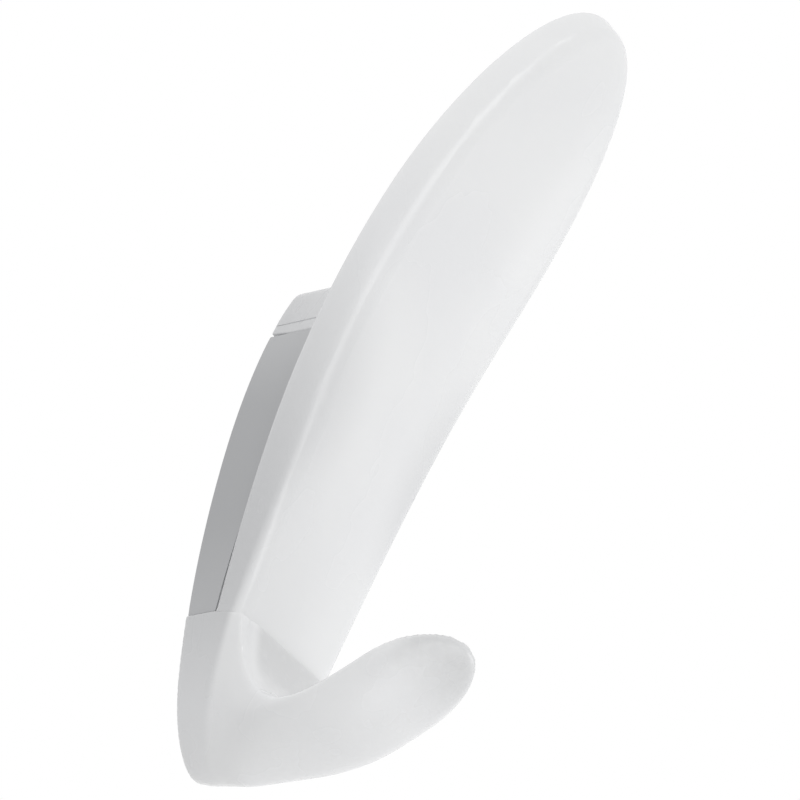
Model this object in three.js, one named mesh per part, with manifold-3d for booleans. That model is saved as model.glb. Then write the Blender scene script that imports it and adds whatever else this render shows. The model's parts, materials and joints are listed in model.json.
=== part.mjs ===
// A double coat hook of frosted plastic for a wall. A grey wall plate sits on a stretch-release adhesive
// strip. The hook itself, an upper prong and a lower hook, hangs on a bead at the plate's top and covers
// the plate. Its lower end swings out from the wall so that the strip's pull tab can be reached.
//
// Millimetres, +Z up. The wall is the plane y = 0 and the hook stands out along -Y. Heights are measured
// from the lower hook's rim, reaches outward from the wall. The origin is the middle of the strip.

import * as THREE from "three";
import { mergeVertices } from "three/addons/utils/BufferGeometryUtils.js";
import Module from "manifold-3d";

const wasm = await Module();
wasm.setup();

// Adhesive strip
const adhesiveThickness = 0.2;
const foamThickness = 0.8;
const stripWidth = 19;
const stripLength = 64;
const stripBottom = -8;
const tabLength = 13;
const tabEndWidth = 12;

// Wall plate: an egg-shaped outline, cut flat at the top of the cap
const plateHalfWidth = 15.6;
const plateWidestHeight = 34;
const plateUpperRise = 49;
const plateLowerDrop = 59.5;

// Cap at the upper prong's back
const capBottom = 60.8;
const capTop = 74.2;
const capCornerRadius = 3;

// Upper prong: a long paddle that leans outward, its face a little narrower than its back
const faceReachAtRim = 15.4;
const tipReach = 54.4;
const tipHeight = 125.2;
const leanAtRim = THREE.MathUtils.degToRad(6.7);
const leanAtTip = THREE.MathUtils.degToRad(28);
const rimHandle = 57;
const tipHandle = 65;
const prongThickness = 8.2;
const prongDraft = 2.4;
const faceEdgeRadius = 2.2;
const backEdgeRadius = 2;
const faceHalfWidthAtRim = 11.6;
const faceHalfWidth = 17.1;
const widestAlongFace = 82;
const faceSwellShare = 0.58;
const faceRimHandle = 37;
const faceWidestHandle = 25;

// Lower hook: a cup round the plate's lower end, and a tongue that turns outward and up
const cupProud = 0.4;
const cupWall = 1.9;
const cupEdgeRadius = 2.4;
const cupFrontDrop = 29.4;
const valleyReach = 28;
const valleyDrop = 19.4;
const tongueThickness = 5.5;
const bellyReach = 18.4;
const tongueReach = 55.8;
const tongueTipDrop = 6.8;
const tongueTipThickness = 1.6;
const tongueRootHalfWidth = 10.8;
const tongueHalfWidth = 11.2;
const tongueEdgeRadius = 1.4;
const tongueRounding = 0.27;
const tongueRootSquareness = 5;
const tongueTipSquareness = 2;
const tongueRootShare = 0.45;

// Handles of the tongue's side curves, as shares of the span that each one shapes
const insideRootBulge = 1.2;
const insideRootHandle = 0.6;
const insideValleyHandle = 0.6;
const insideRiseHandle = 0.26;
const insideTipHandle = 0.29;
const insideTipLift = 0.75;
const outsideRootHandle = 0.57;
const outsideBellyHandle = 0.9;
const outsideRiseHandle = 0.3;
const outsideTipHandle = 0.27;
const outsideTipLift = 0.47;

// Tenon that joins the upper prong to the lower hook
const tenonLength = 9;
const tenonHalfWidth = 8.4;
const tenonBackInset = 1.6;
const tenonFaceInset = 2.4;

// Bead and slot that the hook hangs and tilts on
const tiltLimit = THREE.MathUtils.degToRad(10);
const beadReach = 5.8;
const beadHeight = 67;
const beadRadius = 2;
const beadHalfLength = 7;
const neckThickness = 2;

// Clearances
const runningGap = 0.4;
const seamGap = 0.3;

// Finishes
const frostedWhite = { color: 0xe9eaec, roughness: 0.45, metalness: 0 };
const plateGrey = { color: 0xa8a9ab, roughness: 0.5, metalness: 0 };
const foamWhite = { color: 0xf2f1ec, roughness: 0.9, metalness: 0 };
const adhesiveClear = { color: 0xdfe2e0, roughness: 0.3, metalness: 0 };
const tabWhite = { color: 0xf4f4f2, roughness: 0.6, metalness: 0 };

// Faceting
const eggSteps = 40;
const profileSteps = 34;
const edgeSteps = 3;
const tipCrowding = 1.6;
const hookSteps = 26;
const sectionSteps = 9;
const keelStep = 0.3;
const tipBluntness = 0.02;
const tipTurn = 0.49 * Math.PI;
const farAway = 200;

const rearPlane = 2 * adhesiveThickness + foamThickness;
const stripMiddle = stripBottom + stripLength / 2;

// Solids and booleans

function toSolid(geometry) {
  const bare = geometry.clone();
  bare.deleteAttribute("normal");
  bare.deleteAttribute("uv");
  const merged = mergeVertices(bare, 1e-5);
  const vertProperties = new Float32Array(merged.attributes.position.array);
  const triVerts = new Uint32Array(merged.index.array);
  return new wasm.Manifold(new wasm.Mesh({ numProp: 3, vertProperties, triVerts }));
}

function toGeometry(solid) {
  const mesh = solid.getMesh();
  const geometry = new THREE.BufferGeometry();
  geometry.setAttribute("position", new THREE.BufferAttribute(new Float32Array(mesh.vertProperties), 3));
  geometry.setIndex(new THREE.BufferAttribute(new Uint32Array(mesh.triVerts), 1));
  geometry.computeVertexNormals();
  return geometry;
}

// A front-view outline (x, height) pushed outward from one reach to another
function outwardPrism(shape, fromReach, toReach) {
  const options = { depth: toReach - fromReach, bevelEnabled: false, curveSegments: eggSteps };
  const geometry = new THREE.ExtrudeGeometry(shape, options);
  geometry.rotateX(Math.PI / 2);
  geometry.translate(0, -fromReach, 0);
  return geometry;
}

// A side-view outline (reach, height) pushed sideways to both sides of the middle
function sidewaysPrism(points, halfWidth) {
  const options = { depth: 2 * halfWidth, bevelEnabled: false };
  const geometry = new THREE.ExtrudeGeometry(new THREE.Shape(points), options);
  geometry.translate(0, 0, -halfWidth);
  const out = new THREE.Vector3(0, -1, 0);
  const up = new THREE.Vector3(0, 0, 1);
  const left = new THREE.Vector3(-1, 0, 0);
  geometry.applyMatrix4(new THREE.Matrix4().makeBasis(out, up, left));
  return geometry;
}

// A slab between two heights, wide enough to cut anything here
function heightSlab(bottom, top) {
  const geometry = new THREE.BoxGeometry(farAway, farAway, top - bottom);
  geometry.translate(0, 0, (bottom + top) / 2);
  return toSolid(geometry);
}

// Half of a closed ring, followed by its mirror image
function mirrored(half) {
  const other = half.map((point) => new THREE.Vector3(-point.x, point.y, point.z));
  return [...half, ...other.reverse()];
}

// Skin over a row of mirrored rings, with rungs from side to side across both ends. Seen from beyond the
// last ring, each ring runs anticlockwise
function loft(rings) {
  const count = rings[0].length;
  const index = [];
  const quad = (a, b, c, d) => index.push(a, b, c, a, c, d);
  for (let ring = 0; ring < rings.length - 1; ring += 1) {
    for (let i = 0; i < count; i += 1) {
      const next = (i + 1) % count;
      const here = ring * count;
      const beyond = here + count;
      quad(here + i, here + next, beyond + next, beyond + i);
    }
  }
  const last = (rings.length - 1) * count;
  for (let i = 0; i < count / 2 - 1; i += 1) {
    const across = count - 1 - i;
    quad(i, across, across - 1, i + 1);
    quad(last + i, last + i + 1, last + across - 1, last + across);
  }
  const geometry = new THREE.BufferGeometry().setFromPoints(rings.flat());
  geometry.setIndex(index);
  return geometry;
}

function namedMesh(name, solid, finish) {
  const mesh = new THREE.Mesh(toGeometry(solid), new THREE.MeshStandardMaterial(finish));
  mesh.name = name;
  return mesh;
}

// Side profile of the paddle's face, straight below the rim and curving outward above it

const rimPoint = new THREE.Vector2(faceReachAtRim, 0);
const tipPoint = new THREE.Vector2(tipReach, tipHeight);
const rimDirection = new THREE.Vector2(Math.sin(leanAtRim), Math.cos(leanAtRim));
const tipDirection = new THREE.Vector2(Math.sin(leanAtTip), Math.cos(leanAtTip));
const faceCurve = new THREE.CubicBezierCurve(
  rimPoint,
  rimPoint.clone().addScaledVector(rimDirection, rimHandle),
  tipPoint.clone().addScaledVector(tipDirection, -tipHandle),
  tipPoint,
);
const faceLength = faceCurve.getLength();

// The point at a distance along the face from the rim, and at a depth behind the face
function facePoint(along, depth) {
  const share = THREE.MathUtils.clamp(along / faceLength, 0, 1);
  const tangent = faceCurve.getTangentAt(share);
  const point = faceCurve.getPointAt(share);
  point.addScaledVector(tangent, along - share * faceLength);
  return point.add(new THREE.Vector2(-tangent.y, tangent.x).multiplyScalar(depth));
}

// All the space between the plate's rear plane and the surface at a depth behind the face
function spaceBehindFace(depth) {
  const points = [];
  points.push(facePoint(plateWidestHeight - plateLowerDrop - cupWall, depth));
  for (let step = 0; step <= profileSteps; step += 1) {
    points.push(facePoint((step / profileSteps) * faceLength, depth));
  }
  const top = points[points.length - 1].y;
  const bottom = points[0].y;
  points.push(new THREE.Vector2(rearPlane, top), new THREE.Vector2(rearPlane, bottom));
  return toSolid(sidewaysPrism(points, farAway / 2));
}

// Egg-shaped outline of the plate, grown or shrunk by an offset

function eggAngle(height, rise) {
  return Math.asin(THREE.MathUtils.clamp((height - plateWidestHeight) / rise, -1, 1));
}

function eggShape(offset) {
  const halfWidth = plateHalfWidth + offset;
  const rise = plateUpperRise + offset;
  const drop = plateLowerDrop + offset;
  const cornerStart = eggAngle(capTop - capCornerRadius, rise);
  const cornerWidth = halfWidth * Math.cos(eggAngle(capTop, rise));
  const shape = new THREE.Shape();
  shape.absellipse(0, plateWidestHeight, halfWidth, drop, Math.PI, 2 * Math.PI);
  shape.absellipse(0, plateWidestHeight, halfWidth, rise, 0, cornerStart);
  shape.quadraticCurveTo(cornerWidth, capTop, cornerWidth - capCornerRadius, capTop);
  shape.lineTo(capCornerRadius - cornerWidth, capTop);
  shape.quadraticCurveTo(-cornerWidth, capTop, -halfWidth * Math.cos(cornerStart), capTop - capCornerRadius);
  shape.absellipse(0, plateWidestHeight, halfWidth, rise, Math.PI - cornerStart, Math.PI);
  return shape;
}

function eggPrism(offset) {
  return toSolid(outwardPrism(eggShape(offset), rearPlane, tipReach));
}

// Adhesive strip: a foam core between two adhesive skins, and its pull tab

function stripLayer(fromReach, toReach) {
  const shape = new THREE.Shape();
  shape.moveTo(-stripWidth / 2, stripBottom);
  shape.lineTo(stripWidth / 2, stripBottom);
  shape.lineTo(stripWidth / 2, stripBottom + stripLength);
  shape.lineTo(-stripWidth / 2, stripBottom + stripLength);
  return toSolid(outwardPrism(shape, fromReach, toReach));
}

function pullTab() {
  const endRadius = tabEndWidth / 4;
  const end = stripBottom - tabLength;
  const shape = new THREE.Shape();
  shape.moveTo(-stripWidth / 2, stripBottom);
  shape.lineTo(-tabEndWidth / 2, end + endRadius);
  shape.quadraticCurveTo(-tabEndWidth / 2, end, endRadius - tabEndWidth / 2, end);
  shape.lineTo(tabEndWidth / 2 - endRadius, end);
  shape.quadraticCurveTo(tabEndWidth / 2, end, tabEndWidth / 2, end + endRadius);
  shape.lineTo(stripWidth / 2, stripBottom);
  return toSolid(outwardPrism(shape, adhesiveThickness, adhesiveThickness + foamThickness));
}

// Bead on a neck, grown by a clearance, from a foot height up

function bead(clearance, foot, neckWidth) {
  const radius = beadRadius + clearance;
  const halfLength = beadHalfLength + clearance;
  const roll = new THREE.CylinderGeometry(radius, radius, 2 * halfLength, eggSteps);
  roll.rotateZ(Math.PI / 2);
  roll.translate(0, -beadReach, beadHeight);
  const neck = new THREE.BoxGeometry(2 * halfLength, neckWidth, beadHeight - foot);
  neck.translate(0, -beadReach, (beadHeight + foot) / 2);
  return toSolid(roll).add(toSolid(neck));
}

// Wall plate: full outline between rim and cap, a smaller lower end for the cup, the bead on top

const plateTop = capBottom - runningGap;
const plateFoot = seamGap;
const plateEndInset = cupWall - cupProud + runningGap;

function wallPlate() {
  const front = spaceBehindFace(prongThickness + runningGap);
  const body = eggPrism(0).intersect(front).intersect(heightSlab(plateFoot, plateTop));
  const end = eggPrism(-plateEndInset).intersect(front).intersect(heightSlab(-farAway, plateFoot + seamGap));
  return body.add(end).add(bead(0, plateTop - beadRadius, neckThickness));
}

// Upper prong: the paddle, the cap at its back and the tenon below the rim

// Right half of the face's outline as (half width, distance along the face)
function faceOutline() {
  const swell = faceHalfWidth - faceHalfWidthAtRim;
  const path = new THREE.Path();
  const root = -2 * faceEdgeRadius;
  path.moveTo(faceHalfWidthAtRim, root);
  path.lineTo(faceHalfWidthAtRim, 0);
  path.bezierCurveTo(
    faceHalfWidthAtRim + swell * faceSwellShare, faceRimHandle,
    faceHalfWidth, widestAlongFace - faceWidestHandle,
    faceHalfWidth, widestAlongFace,
  );
  path.absellipse(0, widestAlongFace, faceHalfWidth, faceLength - widestAlongFace, 0, tipTurn);
  return path;
}

// Depth behind the face and outward offset of each layer, from the face's flat to the back's flat
function prongLayers() {
  const layers = [];
  for (let step = 0; step <= edgeSteps; step += 1) {
    const turn = (step / edgeSteps) * (Math.PI / 2);
    layers.push([faceEdgeRadius * (1 - Math.cos(turn)), faceEdgeRadius * (Math.sin(turn) - 1)]);
  }
  for (let step = 0; step <= edgeSteps; step += 1) {
    const turn = (step / edgeSteps) * (Math.PI / 2);
    const depth = prongThickness - backEdgeRadius * (1 - Math.sin(turn));
    layers.push([depth, prongDraft - backEdgeRadius * (1 - Math.cos(turn))]);
  }
  return layers;
}

function paddle() {
  const outline = faceOutline();
  const rings = prongLayers().map(([depth, offset]) => {
    const half = [];
    for (let step = 0; step <= profileSteps; step += 1) {
      const share = 1 - (1 - step / profileSteps) ** tipCrowding;
      const tangent = outline.getTangentAt(share);
      const edge = outline.getPointAt(share);
      edge.add(new THREE.Vector2(tangent.y, -tangent.x).multiplyScalar(offset));
      const place = facePoint(edge.y, depth);
      half.push(new THREE.Vector3(edge.x, -place.x, place.y));
    }
    return mirrored(half);
  });
  return toSolid(loft(rings.reverse()));
}

// The tenon's side outline between two heights, grown by a clearance
function tenon(clearance, top) {
  const bottom = -tenonLength - clearance;
  const back = prongThickness - tenonBackInset + clearance;
  const face = tenonFaceInset - clearance;
  const points = [facePoint(bottom, back), facePoint(bottom, face), facePoint(top, face), facePoint(top, back)];
  return toSolid(sidewaysPrism(points, tenonHalfWidth + clearance));
}

function capSlot() {
  return bead(runningGap, capBottom - beadRadius, 2 * (beadRadius + runningGap));
}

// The cap's underside rises toward the wall, so that it clears the plate when the hook tilts
function capBlock() {
  const relief = (beadReach - rearPlane) * Math.sin(tiltLimit);
  const points = [
    new THREE.Vector2(rearPlane, capBottom + relief),
    new THREE.Vector2(faceReachAtRim, capBottom),
    new THREE.Vector2(tipReach, capBottom),
    new THREE.Vector2(tipReach, capTop),
    new THREE.Vector2(rearPlane, capTop),
  ];
  const sides = toSolid(sidewaysPrism(points, farAway / 2));
  return eggPrism(0).intersect(sides).intersect(spaceBehindFace(prongThickness / 2));
}

function upperProng() {
  const blade = paddle().intersect(heightSlab(seamGap, farAway));
  return blade.add(capBlock()).add(tenon(0, prongThickness / 2)).subtract(capSlot());
}

// Lower hook: the cup's boat-shaped body and the tongue, hollowed for the plate's end and the tenon

const bellyDrop = valleyDrop + tongueThickness;
const cupFaceReach = faceReachAtRim + cupProud;

// Reach, outline offset and edge rounding of each layer of the cup, from the wall side to the front
function cupLayers() {
  const shoulderReach = cupFaceReach - prongThickness;
  const cheekReach = cupFaceReach - cupEdgeRadius;
  const rimHalfWidth = plateHalfWidth * Math.cos(eggAngle(0, plateLowerDrop));
  const cheekOffset = faceHalfWidthAtRim + cupProud - rimHalfWidth;
  const layers = [[rearPlane, cupProud, 0], [shoulderReach, cupProud, 0]];
  for (let step = 0; step <= edgeSteps; step += 1) {
    const turn = (step / edgeSteps) * (Math.PI / 2);
    const reach = cheekReach + cupEdgeRadius * Math.sin(turn);
    layers.push([reach, cheekOffset, cupEdgeRadius * (1 - Math.cos(turn))]);
  }
  return layers;
}

function cupBody() {
  const plateEnd = plateLowerDrop - plateWidestHeight;
  const steps = eggSteps / 2;
  const rings = cupLayers().map(([reach, offset, rounding]) => {
    const drop = plateLowerDrop + offset;
    const bottom = THREE.MathUtils.lerp(plateEnd + cupProud, cupFrontDrop, reach / cupFaceReach) - rounding;
    const stretch = bottom / (drop - plateWidestHeight);
    const top = eggAngle(cupEdgeRadius, drop);
    const half = [];
    for (let step = 0; step <= steps; step += 1) {
      const angle = THREE.MathUtils.lerp(-Math.PI / 2, top, (step + keelStep) / (steps + keelStep));
      const height = plateWidestHeight + drop * Math.sin(angle);
      const x = (plateHalfWidth + offset - rounding) * Math.cos(angle);
      half.push(new THREE.Vector3(x, -reach, height * (height < 0 ? stretch : 1)));
    }
    return mirrored(half);
  });
  return toSolid(loft(rings));
}

// One side curve between two points, with its two handles
function sideCurve(start, startHandle, endHandle, end) {
  const points = [start, startHandle, endHandle, end].map(([reach, height]) => new THREE.Vector2(reach, height));
  return new THREE.CubicBezierCurve(...points);
}

// Side profiles of the hooked tongue: the inside that holds the garment, and the outside below it
function tongueProfiles() {
  const { lerp } = THREE.MathUtils;
  const backReach = cupFaceReach - prongThickness;
  const tipBelow = tongueTipDrop + tongueTipThickness;
  const inside = new THREE.CurvePath();
  const outside = new THREE.CurvePath();
  inside.add(sideCurve(
    [cupFaceReach, 0],
    [cupFaceReach + insideRootBulge, -valleyDrop * insideRootHandle],
    [lerp(valleyReach, cupFaceReach, insideValleyHandle), -valleyDrop],
    [valleyReach, -valleyDrop],
  ));
  inside.add(sideCurve(
    [valleyReach, -valleyDrop],
    [lerp(valleyReach, tongueReach, insideRiseHandle), -valleyDrop],
    [lerp(tongueReach, valleyReach, insideTipHandle), -lerp(valleyDrop, tongueTipDrop, insideTipLift)],
    [tongueReach, -tongueTipDrop],
  ));
  outside.add(sideCurve(
    [backReach, 0],
    [backReach, -bellyDrop * outsideRootHandle],
    [lerp(bellyReach, backReach, outsideBellyHandle), -bellyDrop],
    [bellyReach, -bellyDrop],
  ));
  outside.add(sideCurve(
    [bellyReach, -bellyDrop],
    [lerp(bellyReach, tongueReach, outsideRiseHandle), -bellyDrop],
    [lerp(tongueReach, bellyReach, outsideTipHandle), -lerp(bellyDrop, tipBelow, outsideTipLift)],
    [tongueReach, -tipBelow],
  ));
  return { inside, outside };
}

// Half of the tongue's section: flat inside, rounded edge, then a bulging outside
function tongueSection(halfWidth, thickness, squareness) {
  const radius = Math.min(tongueEdgeRadius, thickness / 3, halfWidth / 3);
  const half = [new THREE.Vector2(halfWidth * keelStep / sectionSteps, 0)];
  for (let step = 0; step < edgeSteps; step += 1) {
    const turn = (step / edgeSteps) * (Math.PI / 2);
    half.push(new THREE.Vector2(halfWidth - radius * (1 - Math.sin(turn)), radius * (1 - Math.cos(turn))));
  }
  for (let step = 0; step < sectionSteps; step += 1) {
    const turn = (step / (sectionSteps - 1 + keelStep)) * (Math.PI / 2);
    const x = halfWidth * Math.cos(turn) ** (2 / squareness);
    half.push(new THREE.Vector2(x, radius + (thickness - radius) * Math.sin(turn) ** (2 / squareness)));
  }
  return half;
}

function tongue() {
  const { lerp } = THREE.MathUtils;
  const { inside, outside } = tongueProfiles();
  const rings = [];
  for (let step = 0; step <= hookSteps; step += 1) {
    const share = step / hookSteps;
    const inner = inside.getPointAt(share);
    const across = outside.getPointAt(share).sub(inner);
    const thickness = across.length();
    across.normalize();
    const pastRoot = Math.min(1, share / tongueRootShare);
    const nearTip = Math.max(0, (share - 1 + tongueRounding) / tongueRounding);
    const rounding = Math.sqrt(Math.max(tipBluntness, 1 - nearTip * nearTip));
    const halfWidth = lerp(tongueRootHalfWidth, tongueHalfWidth, pastRoot) * rounding;
    const squareness = lerp(tongueRootSquareness, tongueTipSquareness, pastRoot);
    const half = tongueSection(halfWidth, thickness, squareness).map((point) => {
      const place = inner.clone().addScaledVector(across, point.y);
      return new THREE.Vector3(point.x, -place.x, place.y);
    });
    rings.push(mirrored(half));
  }
  return toSolid(loft(rings.reverse()));
}

function lowerHook() {
  const below = heightSlab(-farAway, 0);
  const socket = eggPrism(cupProud - cupWall).intersect(spaceBehindFace(prongThickness));
  const body = cupBody().add(tongue()).intersect(below);
  return body.subtract(socket).subtract(tenon(seamGap, prongThickness));
}

// Assembly

const foamInner = adhesiveThickness;
const foamOuter = adhesiveThickness + foamThickness;

const strip = new THREE.Group();
strip.add(namedMesh("wall_adhesive", stripLayer(0, foamInner), adhesiveClear));
strip.add(namedMesh("foam_strip", stripLayer(foamInner, foamOuter), foamWhite));
strip.add(namedMesh("plate_adhesive", stripLayer(foamOuter, rearPlane), adhesiveClear));
strip.add(namedMesh("pull_tab", pullTab(), tabWhite));

const hook = new THREE.Group();
hook.add(namedMesh("upper_prong", upperProng(), frostedWhite));
hook.add(namedMesh("lower_hook", lowerHook(), frostedWhite));

const coatHook = new THREE.Group();
coatHook.add(strip);
coatHook.add(namedMesh("wall_plate", wallPlate(), plateGrey));
coatHook.add(hook);
coatHook.position.z = -stripMiddle;

export default coatHook;
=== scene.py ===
"""Dresses the frosted double coat hook.

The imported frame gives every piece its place. This script models the hook's two shells and its wall plate
afresh, with rounded edges and soft blends, gives each piece its finish, and sets the stage and the camera.
Metres, +Z up. The wall is the plane y = 0 and the hook stands out along -Y. Heights are measured from the
lower hook's rim, and reaches outward from the wall.
"""

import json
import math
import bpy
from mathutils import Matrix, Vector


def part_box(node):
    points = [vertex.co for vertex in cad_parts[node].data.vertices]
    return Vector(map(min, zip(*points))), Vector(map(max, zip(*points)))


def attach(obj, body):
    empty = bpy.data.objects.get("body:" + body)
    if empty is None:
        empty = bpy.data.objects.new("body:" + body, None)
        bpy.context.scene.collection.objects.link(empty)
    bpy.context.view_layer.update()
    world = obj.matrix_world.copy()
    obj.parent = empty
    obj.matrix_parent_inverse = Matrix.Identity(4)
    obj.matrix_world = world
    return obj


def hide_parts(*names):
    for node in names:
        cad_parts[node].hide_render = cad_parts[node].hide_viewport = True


bl_info = {
    "name": "Frosted Coat Hook",
    "version": (1, 0, 0),
    "blender": (4, 5, 0),
    "location": "3D View > Sidebar > Coat Hook",
    "description": "Models a frosted double coat hook on its wall plate, with finishes and a studio stage",
    "category": "Mesh",
}

import bmesh
import bpy
from bpy.props import FloatProperty, FloatVectorProperty, PointerProperty
from mathutils import Matrix, Vector
from mathutils.geometry import interpolate_bezier

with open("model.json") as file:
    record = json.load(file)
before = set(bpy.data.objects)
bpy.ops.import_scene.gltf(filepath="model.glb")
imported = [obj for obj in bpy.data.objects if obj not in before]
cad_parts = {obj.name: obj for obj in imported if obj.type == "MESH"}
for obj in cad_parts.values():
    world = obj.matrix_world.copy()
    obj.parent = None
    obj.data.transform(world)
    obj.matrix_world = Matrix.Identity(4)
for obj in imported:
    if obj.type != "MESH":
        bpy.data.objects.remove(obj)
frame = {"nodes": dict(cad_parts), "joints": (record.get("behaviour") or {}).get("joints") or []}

# Places that the frame gives
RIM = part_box("lower_hook")[1].z
REAR_REACH = -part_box("wall_plate")[1].y
TILT = frame["joints"][0]
BEAD_PLACE = Vector(TILT["pos_m"])
TILT_LIMIT = math.radians(max(TILT["range_deg"]))

# Faceting, in steps
OUTLINE_STEPS = 18
TIP_STEPS = 30
PROFILE_STEPS = 44
SECTION_SIDES = 40
ROOT_STEPS = 22
EDGE_SEGMENTS = 6
CURVE_STEPS = 96

# How far helper solids run past what they cut, and a sheet's first edges lie apart while they are sized
OVERRUN = 0.004
FAR = 0.06
APART = 2

# Limits by which faces, edges and points are told apart, and the edges that shading keeps, in degrees
FACING = 0.99
LEANING = 0.95
SHARP_EDGE = math.radians(40)
TOUCHING = 1e-6
SAME_PLACE = 1e-5
FLAT_SHADING = 32
SOFT_SHADING = 60

# Outlines: how their points crowd towards a round end, and how near they come to it
TIP_CROWDING = 1.5
NEARLY_END = 0.9995

# The tongue: handles of its side curve, as shares of the ways between its points, with the slant at the rim
# as a length, then places along the curve, the rounding of its root's section and the blunt end of its tip
RIM_SLANT = 0.0012
RIM_HANDLE = 0.6
CORNER_HANDLE = 0.6
VALLEY_HANDLE = 0.26
TIP_RUN = 0.29
TIP_RISE = 0.25
CORNER_PLACE = 0.55
VALLEY_PLACE = 1.1
FILLER_PLACE = 0.6
ROOT_ROUNDING = 0.3
TIP_END = 0.04

# Smoothing of the lower hook after its blend: rounds, and the depths and reaches over which it sets in. The
# chin's depths and its end are shares of the valley's depth and reach
BLEND_ROUNDS = 4
TONGUE_ROUNDS = 10
TONGUE_REACHES = (0.013, 0.016)
CHEEK_ROUNDS = 120
CHEEK_DROPS = (0.001, 0.008)
CHEEK_REACHES = (0.003, 0.008)
CHIN_ROUNDS = 40
CHIN_DROPS = (0.1, 1.2)
CHIN_REACHES = (0.003, 0.009)
CHIN_END = 0.85

# Directions, and the bands along them over which the frosted plastic loses the plate's grey and the painted
# shade
# that goes with it: outward from the leaning face, out and up along the free paddle, and below the rim
ACROSS = (1, 0, 0)
OUTWARD = (0, -1, 0)
UP = (0, 0, 1)
FACE_FALL = 0.19
OUT_OF_FACE = (0, -1, -FACE_FALL)
FACE_BAND = (0.0110 - FACE_FALL * RIM, 0.0134 - FACE_FALL * RIM)
OUT_AND_UP = (0, -4, 1)
FREE_BAND = (RIM + 0.055, RIM + 0.205)
BELOW_BAND = (RIM + 0.006, RIM - 0.034)

# Places with a tone or gloss of their own: painted shade on the face's edges beside the plate, painted shade
# grained by a
# # speckle in the nook above the tongue, the polished corners of the tongue's root and the plate's darker
# middle
EDGE_MIDDLE = (0.0165, -0.019, RIM + 0.045)
EDGE_SPREAD = (0.012, 0.012, 0.030)
# How much painted shade the face's edges take
EDGE_BAND = (1.1, 0.2)
EDGE_PAINTED_SHADE = 0.42
NOOK_HALF_WIDTH = 0.0105
NOOK_CORE = 0.7 * NOOK_HALF_WIDTH
NOOK_REACHES = (0.0135, 0.0145)
NOOK_TOP_BAND = (RIM - 0.0010, RIM - 0.0018)
NOOK_FOOT_BAND = (RIM - 0.018, RIM - 0.008)
ROOT_CORNER = (0.0100, -0.0165, RIM - 0.009)
ROOT_SPREAD = (0.005, 0.006, 0.012)
ROOT_BAND = (1.2, 0.3)
PLATE_MIDDLE = (0, -0.004, RIM + 0.030)
PLATE_HALF = (1, 1, 0.032)
PLATE_BAND = (0.3, 1.1)
GRAIN_DEPTH = 0.0002
PLASTIC_IOR = 1.49
FILM_IOR = 1.47

# A Mix node's colour sockets and its colour result, which share their names with its other sockets
COLOUR_SOCKETS = (6, 7)
COLOUR_RESULT = 2

# Lamps by the name of their power, with their width, height and place, and the floor's two greys
LAMPS = (
    ("front", 0.5, 0.5, (0.95, -0.6, -0.12)),
    ("strip", 0.1, 0.6, (-0.655, -0.627, 0.24)),
    ("upper", 0.2, 0.2, (-0.24, -0.08, 0.26)),
    ("corner", 0.08, 0.08, (-0.443, -0.477, 0.646)),
    ("low", 0.4, 0.4, (0.25, -0.4, -0.5)),
)
FLOOR_GREYS = (0.86, 0.89)


# Sizes and colours that a user would change

def length(name, description, default):
    return FloatProperty(name=name, description=description, default=default, unit="LENGTH", precision=5)


def angle(name, description, degrees):
    return FloatProperty(name=name, description=description, default=math.radians(degrees), subtype="ANGLE")


def share(name, description, default):
    return FloatProperty(name=name, description=description, default=default, min=0, max=1, subtype="FACTOR")


def power(name, description, watts):
    return FloatProperty(name=name, description=description, default=watts, unit="POWER")


def colour(name, description, default):
    return FloatVectorProperty(
        name=name, description=description, default=default, min=0, max=1, subtype="COLOR",
    )


class PaddleSizes(bpy.types.PropertyGroup):
    """The upper prong's leaning paddle"""

    rim_reach: length("Reach at the rim", "Distance of the face from the wall at the rim", 0.0142)
    tip_reach: length("Reach at the tip", "Distance of the face from the wall at the tip", 0.0544)
    tip_height: length("Tip height", "Height of the tip above the rim", 0.1252)
    rim_lean: angle("Lean at the rim", "Outward lean of the face at the rim", 8.6)
    tip_lean: angle("Lean at the tip", "Outward lean of the face at the tip", 28)
    rim_handle: length("Rim handle", "Length of the side curve's handle at the rim", 0.057)
    tip_handle: length("Tip handle", "Length of the side curve's handle at the tip", 0.065)
    rim_thickness: length("Thickness at the rim", "Thickness from face to back at the rim", 0.0064)
    thickness: length("Thickness", "Thickness from face to back above the taper", 0.007)
    rim_draft: length("Draft at the rim", "How far the back stands out beyond the face at the rim", -0.0002)
    draft: length("Draft", "How far the back stands out beyond the face above the taper", 0.0028)
    taper: length("Taper", "Length over which thickness and draft grow", 0.05)
    crown: length("Crown", "How far the middle of the face bulges out", 0.0022)
    face_radius: length("Face edge", "Radius of the edge round the face", 0.0026)
    seam_fall: length("Seam fall", "How far the seam above the lower hook drops from back to face", 0.0016)
    back_radius: length("Back edge", "Radius of the edge round the back", 0.0004)
    rim_half_width: length("Half width at the rim", "Half the face's width at the rim", 0.0132)
    half_width: length("Half width", "Half the face's width at its widest", 0.0171)
    widest_along: length("Widest place", "Distance along the face from the rim to its widest place", 0.082)
    swell: share("Swell", "Share of the widening that is reached at the lower handle", 0.4)
    rim_width_handle: length("Lower handle", "Length of the outline's handle at the rim", 0.037)
    widest_handle: length("Upper handle", "Length of the outline's handle at the widest place", 0.025)
    tenon_length: length("Tenon length", "How far the tenon reaches below the rim", 0.009)
    tenon_half_width: length("Tenon half width", "Half the tenon's width", 0.0084)
    tenon_face_inset: length("Tenon face inset", "Depth of the tenon behind the face", 0.0024)
    tenon_back_inset: length("Tenon back inset", "Depth of the tenon in front of the back", 0.0016)


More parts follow.
